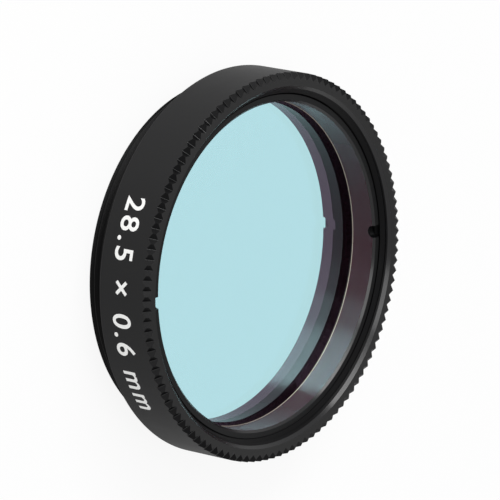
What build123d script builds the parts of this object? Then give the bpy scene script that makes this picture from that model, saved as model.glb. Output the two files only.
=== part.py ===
from build123d import *
import os
from math import cos, radians, sin, tan

# Infrared pass filter for a 1.25 inch eyepiece barrel, in millimetres.
# The optical axis is Z. The threaded end rests at z = 0 and the knurled front faces up.

os.makedirs("parts", exist_ok=True)

# Threads
thread_diameter = 28.5      # nominal size of the filter thread at both ends of the cell
thread_pitch = 0.6
crest_allowance = 0.1       # the male crest's diameter is this much under the nominal size
thread_clearance = 0.03     # radial play of the ring's thread in the cell's thread

# Filter cell, turned from bar
thread_length = 2.45        # male thread, from its end to the shoulder
thread_lead = 0.1           # chamfer that starts the male thread
relief_width = 0.7          # undercut between the last turn and the shoulder
relief_depth = 0.38
barrel_wall = 1.2           # from the male crest in to the clear aperture
aperture_break = 0.15
band_wall = 1.695           # from the front thread out to the smooth band
band_break = 0.12           # broken edge at the back of the band
seat_floor = 0.83           # metal between the shoulder and the face that the glass lies on
seat_step = 0.1             # the glass pocket is this much smaller in radius than the front thread
mouth_lead = 0.61           # 45 degree lead-in at the mouth of the front thread

# Knurl, straight V cuts that run across the front corner of the band
knurl_teeth = 118
groove_angle = 90.0         # included angle of a cut, measured in the front face
groove_depth = 0.64         # how far a cut reaches in from the band at the front face
groove_run = 0.48           # how far a cut reaches back along the band

# Coated glass
glass_thickness = 1.1
glass_clearance = 0.1       # radial play in the pocket
glass_bevel = 0.1

# Retaining ring
ring_setback = 0.77         # from the cell's front face down to the ring
ring_height = 2.25
ring_wall = 0.725
ring_inner_chamfer = 0.18
ring_outer_chamfer = 0.12
slot_width = 1.0            # two slots for a pin spanner
slot_depth = 0.65
ring_turn = 19.2            # where the slots stop when the ring is tight, in degrees from X

# Radii that follow from the sizes above. A fine thread that two pieces share is drawn as
# a plain wall at its pitch radius, and the outer thread at its crest.
crest_radius = (thread_diameter - crest_allowance) / 2
bore_radius = (thread_diameter - 0.6495 * thread_pitch) / 2
aperture_radius = crest_radius - barrel_wall
band_radius = bore_radius + band_wall
mouth_radius = bore_radius + mouth_lead
pocket_radius = bore_radius - seat_step
glass_radius = pocket_radius - glass_clearance
ring_radius = bore_radius - thread_clearance
ring_bore_radius = ring_radius - ring_wall

# Heights that follow, stacked from the seat to the front face
seat_z = thread_length + seat_floor
glass_top_z = seat_z + glass_thickness
ring_top_z = glass_top_z + ring_height
front_z = ring_top_z + ring_setback

# Filter cell: the whole section is one turned profile
with BuildPart() as filter_cell:
    with BuildSketch(Plane.XZ):
        with BuildLine():
            Polyline(
                (aperture_radius + aperture_break, 0),
                (crest_radius - thread_lead, 0),
                (crest_radius, thread_lead),
                (crest_radius, thread_length - relief_width),
                (crest_radius - relief_depth, thread_length - relief_width + relief_depth),
                (crest_radius - relief_depth, thread_length),
                (band_radius - band_break, thread_length),
                (band_radius, thread_length + band_break),
                (band_radius, front_z),
                (mouth_radius, front_z),
                (bore_radius, front_z - mouth_lead),
                (bore_radius, glass_top_z),
                (pocket_radius, glass_top_z),
                (pocket_radius, seat_z),
                (aperture_radius, seat_z),
                (aperture_radius, aperture_break),
                close=True,
            )
        make_face()
    revolve(axis=Axis.Z)

    # One V cut, drawn in the front face and carried down and out through the corner
    cut_reach = 2 * groove_depth
    cut_half_width = cut_reach * tan(radians(groove_angle / 2))
    groove_root = band_radius - groove_depth
    groove_slope = Vector(groove_depth, 0, -groove_run)
    with BuildPart(mode=Mode.PRIVATE) as groove:
        with BuildSketch(Plane.XY.offset(front_z)):
            with BuildLine():
                Polyline(
                    (groove_root, 0),
                    (groove_root + cut_reach, -cut_half_width),
                    (groove_root + cut_reach, cut_half_width),
                    close=True,
                )
            make_face()
        extrude(amount=1.5 * groove_slope.length, dir=groove_slope)
    with PolarLocations(0, knurl_teeth, start_angle=180 / knurl_teeth):
        add(groove.part, mode=Mode.SUBTRACT)
filter_cell.part.label = "filter_cell"

# Coated glass: a flat disc with bevelled edges, lying on the seat
with BuildPart() as filter_glass:
    with BuildSketch(Plane.XY.offset(seat_z)):
        Circle(glass_radius)
    extrude(amount=glass_thickness)
    chamfer(filter_glass.edges(), length=glass_bevel)
filter_glass.part.label = "filter_glass"

# Retaining ring: screwed down onto the glass
with BuildPart() as retaining_ring:
    with BuildSketch(Plane.XZ):
        with BuildLine():
            Polyline(
                (ring_bore_radius, glass_top_z),
                (ring_radius - ring_outer_chamfer, glass_top_z),
                (ring_radius, glass_top_z + ring_outer_chamfer),
                (ring_radius, ring_top_z - ring_outer_chamfer),
                (ring_radius - ring_outer_chamfer, ring_top_z),
                (ring_bore_radius + ring_inner_chamfer, ring_top_z),
                (ring_bore_radius, ring_top_z - ring_inner_chamfer),
                close=True,
            )
        make_face()
    revolve(axis=Axis.Z)

    # Both spanner slots in one pass of a round-bottomed cut through the axis
    along_slots = Vector(cos(radians(ring_turn)), sin(radians(ring_turn)), 0)
    across_slots = Vector(-sin(radians(ring_turn)), cos(radians(ring_turn)), 0)
    with BuildSketch(Plane(origin=(0, 0, ring_top_z), x_dir=across_slots, z_dir=along_slots)):
        with Locations((0, slot_width / 2 - slot_depth)):
            Circle(slot_width / 2)
            Rectangle(slot_width, slot_depth, align=(Align.CENTER, Align.MIN))
    extrude(amount=2 * ring_radius, both=True, mode=Mode.SUBTRACT)
retaining_ring.part.label = "retaining_ring"

export_step(filter_cell.part, "parts/filter_cell.step")
export_step(filter_glass.part, "parts/filter_glass.step")
export_step(retaining_ring.part, "parts/retaining_ring.step")

print("overall height", front_z, "band diameter", 2 * band_radius)
print("seat", seat_z, "glass top", glass_top_z, "ring top", ring_top_z)
print("aperture", 2 * aperture_radius, "ring bore", 2 * ring_bore_radius, "glass", 2 * glass_radius)
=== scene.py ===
import math

import bmesh
import bpy
import numpy as np
from mathutils import Matrix, Vector


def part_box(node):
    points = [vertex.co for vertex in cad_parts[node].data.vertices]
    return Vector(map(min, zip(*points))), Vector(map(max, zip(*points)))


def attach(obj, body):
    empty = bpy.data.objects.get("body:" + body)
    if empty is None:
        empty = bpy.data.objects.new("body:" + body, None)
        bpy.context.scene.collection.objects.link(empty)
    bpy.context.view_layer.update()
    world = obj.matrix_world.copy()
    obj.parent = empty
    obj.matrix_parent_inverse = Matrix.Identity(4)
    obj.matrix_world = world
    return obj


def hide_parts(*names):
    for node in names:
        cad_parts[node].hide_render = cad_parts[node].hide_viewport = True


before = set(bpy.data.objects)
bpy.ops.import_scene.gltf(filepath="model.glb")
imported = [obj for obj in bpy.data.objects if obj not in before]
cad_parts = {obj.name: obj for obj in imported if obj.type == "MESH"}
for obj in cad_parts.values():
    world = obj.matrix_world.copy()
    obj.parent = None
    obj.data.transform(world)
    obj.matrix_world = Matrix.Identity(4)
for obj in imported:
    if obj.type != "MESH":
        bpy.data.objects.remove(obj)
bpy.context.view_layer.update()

# Infrared pass filter for a 1.25 inch eyepiece barrel. Sizes are given in millimetres
# and turned into metres when a mesh is made. The optical axis is Z, and the glass is
# reached from above through the knurled front.
mm = 0.001
cellBox = np.array(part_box("filter_cell")) / mm
glassBox = np.array(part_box("filter_glass")) / mm
ringBox = np.array(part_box("retaining_ring")) / mm
scene = bpy.context.scene
print("frame loaded, cell box", cellBox.round(3).tolist())


# Shape tools

def columnAngles(teeth, shares):
    # One angle for each column of a turned grid: every tooth pitch is cut at the same shares
    # of itself, and the last column lies on the first so that the grid closes.
    steps = (np.arange(teeth)[:, None] + np.array(shares)[None, :]).ravel() / teeth
    return np.append(steps, 1.0) * 2 * math.pi


def turnedGrid(radius, height, theta):
    # x = r cos(theta), y = r sin(theta), z = height. Rows run along the section and
    # columns round the axis. The last column takes the first one's sine and cosine.
    cosine, sine = np.cos(theta), np.sin(theta)
    cosine[-1], sine[-1] = cosine[0], sine[0]
    shape = np.broadcast_shapes(radius.shape, height.shape, (1, len(theta)))
    radius, height = np.broadcast_to(radius, shape), np.broadcast_to(height, shape)
    return np.stack([radius * cosine, radius * sine, height], axis=-1)


def gridTriangles(grid, start):
    # Two triangles for each cell of a rows x columns grid of points.
    rows, columns = grid.shape[:2]
    index = start + np.arange(rows * columns).reshape(rows, columns)
    a, b, c, d = index[:-1, :-1], index[:-1, 1:], index[1:, 1:], index[1:, :-1]
    near, far = np.stack([a, b, c], -1), np.stack([a, c, d], -1)
    return np.concatenate([near.reshape(-1, 3), far.reshape(-1, 3)])


def weldGrids(grids, tolerance=1e-5):
    # Joins (grid, finish) pairs that share edges: points at the same place become one, and
    # triangles that have shrunk to a line are dropped. The signed volume tells which way
    # they face. A finish is one number for the grid, or one for each of its cells.
    points, faces, finishes, start = [], [], [], 0
    for grid, number in grids:
        faces.append(gridTriangles(grid, start))
        cells = np.broadcast_to(number, (grid.shape[0] - 1, grid.shape[1] - 1)).ravel()
        finishes.append(np.concatenate([cells, cells]).astype(np.int32))
        points.append(grid.reshape(-1, 3))
        start += grid.shape[0] * grid.shape[1]
    points, faces, finishes = np.concatenate(points), np.concatenate(faces), np.concatenate(finishes)
    places = np.round(points / tolerance).astype(np.int64)
    _, first, inverse = np.unique(places, axis=0, return_index=True, return_inverse=True)
    points, faces = points[first], inverse.ravel()[faces]
    whole = (faces[:, 0] != faces[:, 1]) & (faces[:, 1] != faces[:, 2]) & (faces[:, 2] != faces[:, 0])
    faces, finishes = faces[whole], finishes[whole]
    corners = points[faces]
    volume = np.einsum("ij,ij->i", corners[:, 0], np.cross(corners[:, 1], corners[:, 2])).sum() / 6
    return points, faces if volume > 0 else faces[:, ::-1], finishes


def meshPiece(name, points, faces, finishes, materials, sharpDegrees=28.0):
    # Puts whole arrays of points in millimetres, triangles and their finish numbers into a
    # new mesh object. Edges steeper than sharpDegrees stay crisp.
    mesh = bpy.data.meshes.new(name)
    mesh.vertices.add(len(points))
    mesh.vertices.foreach_set("co", (points * mm).ravel())
    mesh.loops.add(faces.size)
    mesh.loops.foreach_set("vertex_index", faces.ravel())
    mesh.polygons.add(len(faces))
    mesh.polygons.foreach_set("loop_start", np.arange(0, faces.size, 3))
    for material in materials:
        mesh.materials.append(material)
    mesh.polygons.foreach_set("material_index", finishes)
    mesh.polygons.foreach_set("use_smooth", np.ones(len(faces), dtype=bool))
    mesh.update(calc_edges=True)
    mesh.validate()
    mesh.set_sharp_from_angle(angle=math.radians(sharpDegrees))
    piece = bpy.data.objects.new(name, mesh)
    scene.collection.objects.link(piece)
    print(name, len(faces), "triangles")
    return piece


def sectionRows(points):
    # A polyline of the section as rows: each (radius, height) becomes one circle.
    section = np.array(points, dtype=float)
    return section[:, :1], section[:, 1:]


def threadRadius(height, theta, thread):
    # A right-hand helix: the section repeats every pitch and climbs one pitch a turn.
    # Within a pitch the radius goes rounded crest, flank, root flat, flank. It fades from the
    # plain run-out radius to the full thread near one end.
    phase = (height - thread["crestHeight"]) / thread["pitch"] - theta / (2 * math.pi)
    depth = np.interp(phase % 1.0, thread["shares"] + [1.0], thread["depths"] + [thread["depths"][0]])
    fade = np.clip((height - thread["fadeFrom"]) / thread["fadeOver"], 0, 1)
    full = thread["crest"] + depth * (thread["root"] - thread["crest"])
    return thread["runout"] + (full - thread["runout"]) * fade


def threadGrid(thread, envelope, theta):
    # Rows follow the helix, so crests and flanks stay crisp: height = share + pitch * turn,
    # held between the two ends. The wall is the cut of the thread with a plain envelope, and
    # an extra row in each step lies where the two cross.
    low, high, pitch = thread["low"], thread["high"], thread["pitch"]
    start = math.floor((low - thread["crestHeight"]) / pitch) - 1
    turns = math.ceil((high - low) / pitch) + 3
    steps = (start + np.arange(turns)[:, None] + np.array(thread["shares"])[None, :]).ravel()
    height = thread["crestHeight"] + pitch * (steps[:, None] + theta[None, :] / (2 * math.pi))
    height = np.clip(height, low, high)
    ridge, plain = threadRadius(height, theta, thread), envelope(height)
    side = -1 if thread["inside"] else 1
    gap = side * (plain - ridge)
    near, far = gap[:-1], gap[1:]
    share = np.where(near * far < 0, near / np.where(near == far, 1.0, near - far), 0.0)
    crossHeight = height[:-1] + share * (height[1:] - height[:-1])
    crossRidge = ridge[:-1] + share * (ridge[1:] - ridge[:-1])
    pick = np.maximum if thread["inside"] else np.minimum
    rows = np.empty((2 * len(height) - 1, len(theta), 2))
    rows[0::2, :, 0], rows[0::2, :, 1] = pick(ridge, plain), height
    rows[1::2, :, 0], rows[1::2, :, 1] = pick(crossRidge, envelope(crossHeight)), crossHeight
    return turnedGrid(rows[..., 0], rows[..., 1], theta)


# Node and colour tools

def linearColour(code):
    # sRGB hex to linear RGBA.
    channels = [int(code[i:i + 2], 16) / 255 for i in (1, 3, 5)]
    return [c / 12.92 if c <= 0.04045 else ((c + 0.055) / 1.055) ** 2.4 for c in channels] + [1.0]


def addNode(tree, kind, settings=None, inputs=None):
    # Adds one node. Settings are its attributes, and inputs are values or links for its sockets.
    node = tree.nodes.new(kind)
    for key, value in (settings or {}).items():
        setattr(node, key, value)
    for key, value in (inputs or {}).items():
        if isinstance(value, bpy.types.NodeSocket):
            tree.links.new(value, node.inputs[key])
        else:
            node.inputs[key].default_value = value
    return node


def newMaterial(name):
    material = bpy.data.materials.new(name)
    material.use_nodes = True
    material.node_tree.nodes.clear()
    return material, material.node_tree


# Materials

toolMark = 0.004  # depth of the tool's rings and grit
anodise = {
    "blasted": {"dyeAndPaintedLight": "#0b0b0c", "paleDyeAndPaintedLight": "#111112", "smooth": 0.48, "dull": 0.56, "gloss": 0.26,
                "turned": 0.7, "cloudSize": 2.2, "grit": 0.06, "turnStep": 0.08, "bump": 0.10},
    "faced": {"dyeAndPaintedLight": "#090909", "paleDyeAndPaintedLight": "#0e0e0f", "smooth": 0.42, "dull": 0.50, "gloss": 0.24,
              "turned": 0.8, "cloudSize": 3.0, "grit": 0.08, "turnStep": 0.05, "bump": 0.10},
    "cut": {"dyeAndPaintedLight": "#08080a", "paleDyeAndPaintedLight": "#0e0e10", "smooth": 0.18, "dull": 0.26, "gloss": 0.36,
            "turned": 0.6, "cloudSize": 1.5, "grit": 0.10, "turnStep": 0.05, "bump": 0.05},
    "threaded": {"dyeAndPaintedLight": "#060607", "paleDyeAndPaintedLight": "#0a0a0b", "smooth": 0.34, "dull": 0.44, "gloss": 0.08,
                 "turned": 0.4, "cloudSize": 1.5, "grit": 0.08, "turnStep": 0.04, "bump": 0.06},
    "ringFaced": {"dyeAndPaintedLight": "#080809", "paleDyeAndPaintedLight": "#0c0d0e", "smooth": 0.40, "dull": 0.48, "gloss": 0.13,
                  "turned": 0.8, "cloudSize": 3.0, "grit": 0.08, "turnStep": 0.05, "bump": 0.08},
    # On the ring's bore the maroon is painted red light: it stands for the filter's deep red glow on the wall,
    # over a near-black anodise.
    "borePaintedRedLight": {"dyeAndPaintedLight": "#401822", "paleDyeAndPaintedLight": "#48202a", "smooth": 0.20, "dull": 0.28, "gloss": 0.36,
              "turned": 0.3, "cloudSize": 2.5, "grit": 0.10, "turnStep": 0.06, "bump": 0.03},
}


def anodisedMaterial(name, values):
    # Black anodised aluminium: a dyed oxide, nearly black, over a turned surface. For the ring's bore
    # the colour is a maroon that is painted red light, the filter's red glow on the wall. The tool's
    # fine rings run round the axis, so its sheen is drawn out across them, towards the axis on a face
    # and along the axis on a wall. Rings and grit are coarser than the real ones, as those would not show.
    material, tree = newMaterial(name)
    place = addNode(tree, "ShaderNodeTexCoord").outputs["Object"]
    xyz = addNode(tree, "ShaderNodeSeparateXYZ", inputs={0: place})
    flat = addNode(tree, "ShaderNodeCombineXYZ", inputs={0: xyz.outputs[0], 1: xyz.outputs[1]})
    radius = addNode(tree, "ShaderNodeVectorMath", {"operation": "LENGTH"}, {0: flat.outputs[0]})
    ringPlace = addNode(tree, "ShaderNodeCombineXYZ", inputs={
        0: radius.outputs["Value"], 1: xyz.outputs[2]})
    rings = addNode(tree, "ShaderNodeTexNoise", {"noise_dimensions": "2D"}, {
        "Vector": ringPlace.outputs[0], "Scale": 1 / (values["turnStep"] * mm), "Detail": 2.0})
    grit = addNode(tree, "ShaderNodeTexNoise", inputs={
        "Vector": place, "Scale": 1 / (values["grit"] * mm), "Detail": 2.0})
    cloud = addNode(tree, "ShaderNodeTexNoise", inputs={
        "Vector": place, "Scale": 1 / (values["cloudSize"] * mm), "Detail": 3.0})
    colour = addNode(tree, "ShaderNodeMix", {"data_type": "RGBA"}, {
        "Factor": cloud.outputs["Fac"], 6: linearColour(values["dyeAndPaintedLight"]),
        7: linearColour(values["paleDyeAndPaintedLight"])})
    rough = addNode(tree, "ShaderNodeMapRange", inputs={
        "Value": cloud.outputs["Fac"], "To Min": values["smooth"], "To Max": values["dull"]})
    mixed = addNode(tree, "ShaderNodeMath", {"operation": "ADD"}, {
        0: rings.outputs["Fac"], 1: grit.outputs["Fac"]})
    bump = addNode(tree, "ShaderNodeBump", inputs={
        "Height": mixed.outputs[0], "Strength": values["bump"], "Distance": toolMark * mm})
    around = addNode(tree, "ShaderNodeTangent", {"direction_type": "RADIAL", "axis": "Z"})
    shader = addNode(tree, "ShaderNodeBsdfPrincipled", inputs={
        "Base Color": colour.outputs[2], "Roughness": rough.outputs[0], "Normal": bump.outputs[0],
        "Specular IOR Level": values["gloss"], "Anisotropic": values["turned"],
        "Anisotropic Rotation": 0.25, "Tangent": around.outputs[0]})
    addNode(tree, "ShaderNodeOutputMaterial", inputs={"Surface": shader.outputs[0]})
    return material


surfaces = {
    "lip": {"metal": "#9c958a", "smooth": 0.4, "dull": 0.6, "grain": 0.3},
    "glass": {"body": "#fbfdfd", "index": 1.52, "reflection": (0.9, 0.5, 1.0, 1.0)},
    "coating": {"mirror": "#b3dfe6"},
    "edge": {"dark": "#141617", "light": "#24282a", "rough": 0.6, "grain": 0.08},
    "ink": {"dark": "#f2f2f0", "light": "#fbfbfa", "rough": 0.55, "grain": 0.25},
}


def bareLipMaterial(values):
    # Bare aluminium: the ring's lower lip was faced after the dye, and shows as a thin pale line.
    material, tree = newMaterial("bare_turned_lip")
    place = addNode(tree, "ShaderNodeTexCoord").outputs["Object"]
    grain = addNode(tree, "ShaderNodeTexNoise", inputs={
        "Vector": place, "Scale": 1 / (values["grain"] * mm), "Detail": 2.0})
    rough = addNode(tree, "ShaderNodeMapRange", inputs={
        "Value": grain.outputs["Fac"], "To Min": values["smooth"], "To Max": values["dull"]})
    shader = addNode(tree, "ShaderNodeBsdfPrincipled", inputs={
        "Base Color": linearColour(values["metal"]), "Metallic": 1.0, "Roughness": rough.outputs[0]})
    addNode(tree, "ShaderNodeOutputMaterial", inputs={"Surface": shader.outputs[0]})
    return material


def clearGlassMaterial(values):
    # Polished optical glass with a thin hard layer: nearly invisible by itself, with a weak
    # mauve reflection that lies in front of the coloured one.
    material, tree = newMaterial("polished_optical_glass")
    shader = addNode(tree, "ShaderNodeBsdfPrincipled", inputs={
        "Base Color": linearColour(values["body"]), "Roughness": 0.0, "IOR": values["index"],
        "Transmission Weight": 1.0, "Specular Tint": values["reflection"]})
    addNode(tree, "ShaderNodeOutputMaterial", inputs={"Surface": shader.outputs[0]})
    return material


def coatedFaceMaterial(values):
    # Vacuum-deposited dichroic coating on the back face: it turns visible light back as a
    # flat pale cyan and lets only the deep red and infrared through.
    material, tree = newMaterial("dichroic_coating")
    shader = addNode(tree, "ShaderNodeBsdfPrincipled", inputs={
        "Base Color": linearColour(values["mirror"]), "Roughness": 0.0, "Metallic": 1.0})
    addNode(tree, "ShaderNodeOutputMaterial", inputs={"Surface": shader.outputs[0]})
    return material


def mottledMaterial(name, values):
    # A dull, opaque skin whose colour drifts between two close tones. As the ground edge of
    # the glass it is black ink over a fine grind, which stops stray light and looks dark grey.
    # As the print it is pad-printed ink, slightly warm white with a faint mottle.
    material, tree = newMaterial(name)
    place = addNode(tree, "ShaderNodeTexCoord").outputs["Object"]
    grain = addNode(tree, "ShaderNodeTexNoise", inputs={
        "Vector": place, "Scale": 1 / (values["grain"] * mm), "Detail": 2.0})
    colour = addNode(tree, "ShaderNodeMix", {"data_type": "RGBA"}, {
        "Factor": grain.outputs["Fac"], 6: linearColour(values["dark"]), 7: linearColour(values["light"])})
    shader = addNode(tree, "ShaderNodeBsdfPrincipled", inputs={
        "Base Color": colour.outputs[2], "Roughness": values["rough"]})
    addNode(tree, "ShaderNodeOutputMaterial", inputs={"Surface": shader.outputs[0]})
    return material


finish = {name: anodisedMaterial("black_anodise_" + name, values) for name, values in anodise.items()}
print("materials made")


# Filter cell: one turned piece with a thread at each end and a knurled front corner

cell = {
    "bandRadius": cellBox[1][0], "frontHeight": cellBox[1][2], "inkThickness": 0.008,
    "teeth": 118, "grooveDepth": 0.64, "grooveRun": 0.48, "bandTop": 6.6, "bandStep": 1.5,
    "columnShares": [0.0, 0.06, 0.25, 0.42, 0.47, 0.53, 0.58, 0.75, 0.94], "rootHalfShare": 0.03,
    "mouthRadius": 14.665, "mouthLow": 7.15, "mouthBreak": 0.01,
    "wallRadius": 14.055, "wallLow": 4.45, "glassTop": glassBox[1][2],
    "pocketRadius": 13.955, "seatHeight": glassBox[0][2], "seatBreak": 0.05,
    "apertureRadius": 13.0, "apertureBreak": 0.15, "apertureMiddle": 1.8,
    "endRadius": 14.1, "crestRadius": 14.2, "reliefRadius": 13.82, "reliefLow": 2.13,
    "shoulderHeight": 2.45, "reliefBreak": 0.04, "bandBreak": 0.12, "breakMiddle": (0.04, 0.05),
}
threadShape = {
    "pitch": 0.6, "shares": [0.0, 0.03, 0.13, 0.16, 0.5, 0.66], "depths": [0.1, 0.0, 0.0, 0.1, 1.0, 1.0],
}
tubeThread = {
    **threadShape, "inside": False, "low": 0.0, "high": cell["reliefLow"], "crest": cell["crestRadius"],
    "root": 13.85, "crestHeight": 0.2, "fadeFrom": 0.02, "fadeOver": 0.1, "runout": cell["crestRadius"],
}
mouthThread = {
    **threadShape, "inside": True, "low": cell["wallLow"], "high": cell["mouthLow"], "crest": 13.97,
    "root": 14.33, "crestHeight": 0.035, "fadeFrom": cell["wallLow"], "fadeOver": 0.3,
    "runout": cell["wallRadius"],
}


def leadCone(height):
    # Male thread's envelope: a 45 degree lead from the end face and the same slope into the relief.
    lead = cell["endRadius"] + height
    relief = cell["reliefRadius"] + cell["reliefLow"] - height
    return np.minimum(lead, relief)


def mouthCone(height):
    # Front thread's envelope: the 45 degree lead-in at the mouth, wider as it rises.
    return cell["mouthRadius"] - (cell["frontHeight"] - height)


def knurlRows(theta):
    # The front corner as a drop below the front plane. Near each V cut's own direction,
    # drop = run / depth * max(0, r cos(a) - root - r |sin(a)|), where a is the angle from the
    # cut, held above the half width of the tool's narrow flat tip. The front face ends where
    # that drop begins, at r = root / (cos(a) - |sin(a)|).
    band = cell["bandRadius"] - cell["inkThickness"]
    root = cell["bandRadius"] - cell["grooveDepth"]
    slope = cell["grooveRun"] / cell["grooveDepth"]
    pitchAngle = 2 * math.pi / cell["teeth"]
    away = (theta % pitchAngle) - pitchAngle / 2
    tip = math.sin(cell["rootHalfShare"] * pitchAngle)
    across = np.cos(away) - np.maximum(np.abs(np.sin(away)), tip)
    crease = root / across
    radii, heights = [], []
    for share in (0.0, 0.5, 1.0):
        radii.append(crease + (band - crease) * (1 - share))
        heights.append(cell["frontHeight"] - slope * (radii[-1] * across - root))
    inner = cell["mouthRadius"] + cell["mouthBreak"]
    for share in (0.5, 1.0):
        radii.append(crease + (inner - crease) * share)
        heights.append(np.full_like(theta, cell["frontHeight"]))
    return np.array(radii), np.array(heights)


def cellGrids():
    # Every part of the cell's skin, from the relief round the front and down to the end face.
    blasted, faced, cut, threaded = range(4)
    theta = columnAngles(cell["teeth"], cell["columnShares"])
    band, shoulder = cell["bandRadius"] - cell["inkThickness"], cell["shoulderHeight"]
    breakIn, breakUp = cell["breakMiddle"]
    knurlR, knurlZ = knurlRows(theta)
    backR, backZ = sectionRows([
        (cell["reliefRadius"], cell["reliefLow"]), (cell["reliefRadius"], shoulder - cell["reliefBreak"]),
        (cell["reliefRadius"] + cell["reliefBreak"], shoulder), (band - cell["bandBreak"], shoulder),
        (band - breakIn, shoulder + breakUp), (band, shoulder + cell["bandBreak"]),
        (band, shoulder + cell["bandStep"]), (band, shoulder + 2 * cell["bandStep"]), (band, cell["bandTop"])])
    mouthR, mouthZ = sectionRows([
        (cell["mouthRadius"], cell["frontHeight"] - cell["mouthBreak"]),
        (mouthCone(cell["mouthLow"]), cell["mouthLow"])])
    wide = np.ones((1, len(theta)))
    back = turnedGrid(backR * wide, backZ * wide, theta)
    knurl = turnedGrid(np.concatenate([backR[-1:] * wide, knurlR[:3]]),
                       np.concatenate([backZ[-1:] * wide, knurlZ[:3]]), theta)
    front = turnedGrid(np.concatenate([knurlR[2:], mouthR[:1] * wide]),
                       np.concatenate([knurlZ[2:], mouthZ[:1] * wide]), theta)
    mouth = turnedGrid(mouthR * wide, mouthZ * wide, theta)
    insideR, insideZ = sectionRows([
        (cell["wallRadius"], cell["wallLow"]), (cell["wallRadius"], cell["glassTop"]),
        (cell["pocketRadius"], cell["glassTop"]), (cell["pocketRadius"], cell["seatHeight"]),
        (cell["apertureRadius"] + cell["seatBreak"], cell["seatHeight"]),
        (cell["apertureRadius"], cell["seatHeight"] - cell["seatBreak"]),
        (cell["apertureRadius"], cell["apertureMiddle"]), (cell["apertureRadius"], cell["apertureBreak"]),
        (cell["apertureRadius"] + cell["apertureBreak"], 0.0), (cell["endRadius"], 0.0)])
    inside = turnedGrid(insideR * wide, insideZ * wide, theta)
    mouthThreads = threadGrid(mouthThread, mouthCone, theta)[::-1]
    tubeThreads = threadGrid(tubeThread, leadCone, theta)
    middle = (theta[:-1] + theta[1:]) / 2 * cell["teeth"] / (2 * math.pi) % 1.0
    groove = np.where(np.abs(middle - 0.5) < cell["rootHalfShare"], cut, threaded)
    knurlFinish = np.stack([np.full_like(groove, blasted), groove, groove])
    return [(back, blasted), (knurl, knurlFinish), (front, faced), (mouth, cut), (mouthThreads, threaded),
            (inside, threaded), (tubeThreads, faced)]


cellPiece = meshPiece("turned_cell", *weldGrids(cellGrids()),
                      [finish["blasted"], finish["faced"], finish["cut"], finish["threaded"]])
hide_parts("filter_cell")
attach(cellPiece, "root")


# Retaining ring: a threaded tube with two spanner slots in its front

ring = {
    "bore": 13.3, "outside": 14.025, "low": ringBox[0][2], "high": ringBox[1][2],
    "innerChamfer": 0.18, "outerChamfer": 0.12, "slotWidth": 1.0, "slotDepth": 0.65,
    "belowSlot": 0.72, "lip": 0.035, "turnDegrees": 19.2, "columns": 720, "slotColumns": 24,
    "slotMargin": 1.06,
}


def ringAngles():
    # Even columns round the ring, and closer ones across each slot. Within a slot the column
    # angles follow the cosine of an even step, so the round bottom gets points near its sides.
    half = math.asin(ring["slotWidth"] / 2 / ring["outside"]) * ring["slotMargin"]
    across = -np.cos(np.linspace(0, math.pi, ring["slotColumns"] + 1)) * half
    between = np.linspace(half, math.pi - half, ring["columns"] // 2)[1:-1]
    turn = math.radians(ring["turnDegrees"])
    theta = np.concatenate([across, between, across + math.pi, between + math.pi])
    return np.append(theta, theta[0] + 2 * math.pi) + turn


def slotFloor(radius, theta):
    # Height of the slot's floor over its own width: a half circle on the slot's centre line,
    # floor = top - depth + r - sqrt(r^2 - y^2), where y is the distance from that line.
    half = ring["slotWidth"] / 2
    off = radius * np.sin(theta - math.radians(ring["turnDegrees"]))
    inside = np.abs(off) < half
    bottom = ring["high"] - ring["slotDepth"] + half - np.sqrt(np.clip(half ** 2 - off ** 2, 0, None))
    return np.where(inside, bottom, np.inf)


def ringGrids():
    # The section as bands of one finish each. A slot lowers every point that stands over its
    # floor. The lower lip leans in a little over the glass, so it shows from above only.
    faced, threaded, cut, borePaintedRedLight, bareLip = range(5)
    theta = ringAngles()
    wide = np.ones((1, len(theta)))
    rimIn, rimOut = ring["bore"] + ring["innerChamfer"], ring["outside"] - ring["outerChamfer"]
    boreTop, slotEnd = ring["high"] - ring["innerChamfer"], ring["high"] - ring["belowSlot"]
    lipIn, lipTop = ring["bore"] - ring["lip"], ring["low"] + ring["lip"]
    bands = [
        ([(lipIn, ring["low"]), (rimOut, ring["low"]),
          (ring["outside"], ring["low"] + ring["outerChamfer"]), (ring["outside"], slotEnd),
          (ring["outside"], ring["high"] - ring["outerChamfer"]), (rimOut, ring["high"])], threaded),
        ([(rimOut, ring["high"]), (rimIn, ring["high"])], faced),
        ([(rimIn, ring["high"]), (ring["bore"], boreTop)], cut),
        # The bore wall's maroon is painted red light, the filter's red glow, over black anodise.
        ([(ring["bore"], boreTop), (ring["bore"], slotEnd), (ring["bore"], lipTop)], borePaintedRedLight),
        ([(ring["bore"], lipTop), (lipIn, ring["low"])], bareLip)]
    grids = []
    for section, number in bands:
        radius, height = sectionRows(section)
        radius, height = radius * wide, height * wide
        grids.append((turnedGrid(radius, np.minimum(height, slotFloor(radius, theta)), theta), number))
    return grids


ringPiece = meshPiece("slotted_ring", *weldGrids(ringGrids()),
                      [finish["ringFaced"], finish["threaded"], finish["cut"], finish["borePaintedRedLight"],
                       bareLipMaterial(surfaces["lip"])])
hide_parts("retaining_ring")
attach(ringPiece, "root")


# Coated glass: a clear plate whose back face carries the mirror-like coating

glass = {
    "radius": glassBox[1][0], "low": glassBox[0][2], "high": glassBox[1][2], "bevel": 0.1,
    "columns": 480,
}


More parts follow.
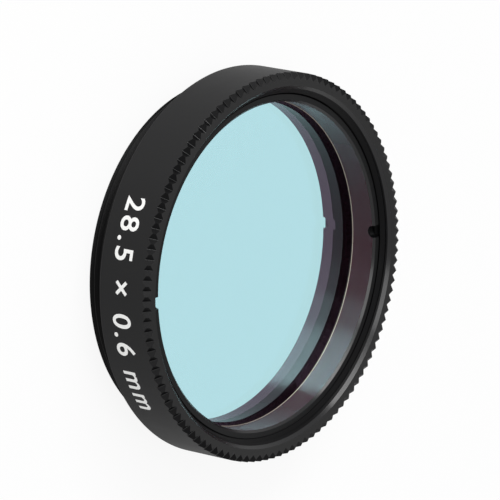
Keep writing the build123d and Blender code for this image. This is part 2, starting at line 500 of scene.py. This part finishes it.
def glassGrids():
    # A disc's section from the back's centre round the edge to the front's centre. The clear
    # front comes first, then the coated back and the ground edge, as their materials do.
    theta = np.linspace(0, 2 * math.pi, glass["columns"] + 1)
    rim, bevel = glass["radius"], glass["bevel"]
    back = [(0.0, glass["low"]), (rim * 0.5, glass["low"]), (rim - bevel, glass["low"])]
    edge = [(rim - bevel, glass["low"]), (rim, glass["low"] + bevel), (rim, glass["high"] - bevel),
            (rim - bevel, glass["high"])]
    front = [(rim - bevel, glass["high"]), (rim * 0.5, glass["high"]), (0.0, glass["high"])]
    parts = enumerate((front, back, edge))
    return [(turnedGrid(*sectionRows(part), theta), number) for number, part in parts]


glassPiece = meshPiece("coated_glass_disc", *weldGrids(glassGrids()),
                       [clearGlassMaterial(surfaces["glass"]), coatedFaceMaterial(surfaces["coating"]),
                        mottledMaterial("blacked_ground_edge", surfaces["edge"])])
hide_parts("filter_glass")
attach(glassPiece, "root")


# Printed numbers: the plain thread size, wrapped round the band

lettering = {
    "text": "28.5 × 0.6 mm", "capHeight": 1.85, "stroke": 0.012, "spacing": 1.22,
    "startDegrees": 167.5, "middleHeight": 4.75, "inkDepth": 0.02, "sliceWidth": 0.25,
    "curveSteps": 6, "firstLetter": 0.5,
}


def flatNumbers():
    # The text as a thin closed slab in the curve's own units, one unit to a line of type.
    curve = bpy.data.curves.new("numbers", "FONT")
    curve.body = lettering["text"]
    curve.resolution_u = lettering["curveSteps"]
    curve.offset = lettering["stroke"]
    curve.space_character = lettering["spacing"]
    curve.extrude = 0.5
    holder = bpy.data.objects.new("numbers_curve", curve)
    scene.collection.objects.link(holder)
    bpy.context.view_layer.update()
    mesh = bpy.data.meshes.new_from_object(holder)
    bpy.data.objects.remove(holder)
    bpy.data.curves.remove(curve)
    return mesh


def wrapNumbers():
    # Along the print, arc length over the band's radius gives the angle. Across it, the
    # letters' height runs along the axis with their tops towards the knurl. The slab's own
    # depth becomes the ink's, from just inside the band to its full radius.
    flat = flatNumbers()
    shape = bmesh.new()
    shape.from_mesh(flat)
    bmesh.ops.remove_doubles(shape, verts=shape.verts[:], dist=1e-5)
    xs = [v.co.x for v in shape.verts]
    left, right = min(xs), max(xs)
    tall = [v.co.y for v in shape.verts if v.co.x < left + lettering["firstLetter"]]
    low, high = min(tall), max(tall)
    size = lettering["capHeight"] / (high - low)
    band = cell["bandRadius"]
    print("print runs", round((right - left) * size, 2), "mm")
    cuts = int((right - left) * size / lettering["sliceWidth"])
    for step in range(1, cuts):
        place = Vector((left + (right - left) * step / cuts, 0, 0))
        geometry = shape.verts[:] + shape.edges[:] + shape.faces[:]
        bmesh.ops.bisect_plane(shape, geom=geometry, plane_co=place, plane_no=(1, 0, 0))
    bmesh.ops.triangulate(shape, faces=shape.faces[:])
    shape.to_mesh(flat)
    shape.free()
    flatPoints = np.empty(len(flat.vertices) * 3)
    flat.vertices.foreach_get("co", flatPoints)
    flatPoints = flatPoints.reshape(-1, 3)
    along = (flatPoints[:, 0] - left) * size / band + math.radians(lettering["startDegrees"])
    across = lettering["middleHeight"] + (flatPoints[:, 1] - (low + high) / 2) * size
    reach = band + (flatPoints[:, 2] - 0.5) * lettering["inkDepth"]
    points = np.stack([reach * np.cos(along), reach * np.sin(along), across], axis=-1)
    corners = np.empty(len(flat.polygons) * 3, dtype=np.int32)
    flat.polygons.foreach_get("vertices", corners)
    bpy.data.meshes.remove(flat)
    faces = corners.reshape(-1, 3)
    return points, faces, np.zeros(len(faces), dtype=np.int32)


numbersPiece = meshPiece("printed_numbers", *wrapNumbers(),
                         [mottledMaterial("pad_printed_ink", surfaces["ink"])])
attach(numbersPiece, "root")


# Floor, world and lights

studio = {
    "floorSize": 1.6, "floorDrop": 0.00002, "floorWhite": "#fafafa", "seenWhite": 0.9,
    "mirroredWhite": 0.35, "roomShare": 0.44,
    "key": {"azimuth": 119.0, "elevation": 40.0, "distance": 0.75,
            "wide": 0.54, "tall": 0.20, "radiance": 9.0},
    "tail": {"azimuth": 156.0, "elevation": 41.0, "distance": 0.75,
             "wide": 0.24, "tall": 0.16, "radiance": 3.2},
    "top": {"azimuth": 172.0, "elevation": 54.0, "distance": 0.75,
            "wide": 0.36, "tall": 0.20, "radiance": 4.5},
}


def makeFloor():
    # A plain white sheet. The camera sees most of it as white, and glossy and transmission
    # rays see part of it so. The rest of it takes the light and keeps the object's shadow. It
    # lies a hair under the end face, so the two don't fight for one plane.
    half, low = studio["floorSize"] / 2, -studio["floorDrop"]
    mesh = bpy.data.meshes.new("floor")
    corners = [(-half, -half, low), (half, -half, low), (half, half, low), (-half, half, low)]
    mesh.from_pydata(corners, [], [(0, 1, 2, 3)])
    material, tree = newMaterial("matt_white_floor")
    path = addNode(tree, "ShaderNodeLightPath")
    mirrored = addNode(tree, "ShaderNodeMath", {"operation": "MAXIMUM"}, {
        0: path.outputs["Is Glossy Ray"], 1: path.outputs["Is Transmission Ray"]})
    share = addNode(tree, "ShaderNodeMath", {"operation": "MULTIPLY"}, {
        0: mirrored.outputs[0], 1: studio["mirroredWhite"]})
    share = addNode(tree, "ShaderNodeMath", {"operation": "MULTIPLY_ADD"}, {
        0: path.outputs["Is Camera Ray"], 1: studio["seenWhite"], 2: share.outputs[0]})
    paper = addNode(tree, "ShaderNodeBsdfDiffuse", inputs={"Color": linearColour(studio["floorWhite"])})
    white = addNode(tree, "ShaderNodeEmission", inputs={"Color": (1, 1, 1, 1), "Strength": 1.0})
    mix = addNode(tree, "ShaderNodeMixShader", inputs={
        0: share.outputs[0], 1: paper.outputs[0], 2: white.outputs[0]})
    addNode(tree, "ShaderNodeOutputMaterial", inputs={"Surface": mix.outputs[0]})
    mesh.materials.append(material)
    floor = bpy.data.objects.new("floor", mesh)
    scene.collection.objects.link(floor)


def makeWorld():
    # A white room. It lights the object softly and shows as white behind it.
    world = bpy.data.worlds.new("white_room")
    world.use_nodes = True
    scene.world = world
    tree = world.node_tree
    tree.nodes.clear()
    path = addNode(tree, "ShaderNodeLightPath")
    seen = addNode(tree, "ShaderNodeMath", {"operation": "MAXIMUM"}, {
        0: path.outputs["Is Camera Ray"], 1: path.outputs["Is Glossy Ray"]})
    seen = addNode(tree, "ShaderNodeMath", {"operation": "MAXIMUM"}, {
        0: seen.outputs[0], 1: path.outputs["Is Transmission Ray"]})
    strength = addNode(tree, "ShaderNodeMapRange", inputs={
        "Value": seen.outputs[0], "To Min": studio["roomShare"], "To Max": 1.0})
    background = addNode(tree, "ShaderNodeBackground", inputs={
        "Color": (1, 1, 1, 1), "Strength": strength.outputs[0]})
    addNode(tree, "ShaderNodeOutputWorld", inputs={"Surface": background.outputs[0]})


def direction(azimuth, elevation):
    # Unit vector from the object: azimuth is measured from +X towards +Y.
    a, e = math.radians(azimuth), math.radians(elevation)
    return Vector((math.cos(e) * math.cos(a), math.cos(e) * math.sin(a), math.sin(e)))


def softbox(name, values):
    # A plain diffuser that faces the object. Its power in watts is pi x area x radiance.
    lamp = bpy.data.lights.new(name, "AREA")
    lamp.shape, lamp.size, lamp.size_y = "RECTANGLE", values["wide"], values["tall"]
    lamp.energy = math.pi * values["wide"] * values["tall"] * values["radiance"]
    holder = bpy.data.objects.new(name, lamp)
    away = direction(values["azimuth"], values["elevation"])
    holder.location = away * values["distance"]
    holder.rotation_euler = away.to_track_quat("Z", "Y").to_euler()
    scene.collection.objects.link(holder)


makeFloor()
makeWorld()
for name in ("key", "tail", "top"):
    softbox(name + "_softbox", studio[name])
print("studio set")


# Camera

shot = {
    "aim": (-1.115, 1.024, 5.253), "distance": 436.6, "elevation": 39.007, "azimuth": 180.0,
    "roll": 100.942, "lens": 393.42, "sensor": 36.0, "clip": (0.01, 10.0),
}


def placeCamera():
    # The camera looks along its own -Z from the aim point back along azimuth and elevation.
    # Its right hand, level at first, is then rolled about that line.
    camera = bpy.data.cameras.new("photo_camera")
    camera.lens, camera.sensor_width = shot["lens"], shot["sensor"]
    camera.clip_start, camera.clip_end = shot["clip"]
    holder = bpy.data.objects.new("photo_camera", camera)
    back = direction(shot["azimuth"], shot["elevation"])
    level = Vector((0, 0, 1)).cross(back).normalized()
    right = Matrix.Rotation(math.radians(shot["roll"]), 3, back) @ level
    turn = Matrix((right, back.cross(right), back)).transposed()
    place = Vector(shot["aim"]) * mm + back * shot["distance"] * mm
    holder.matrix_world = Matrix.Translation(place) @ turn.to_4x4()
    scene.collection.objects.link(holder)
    scene.camera = holder
    print("camera placed")


placeCamera()
scene.view_settings.view_transform = "Standard"
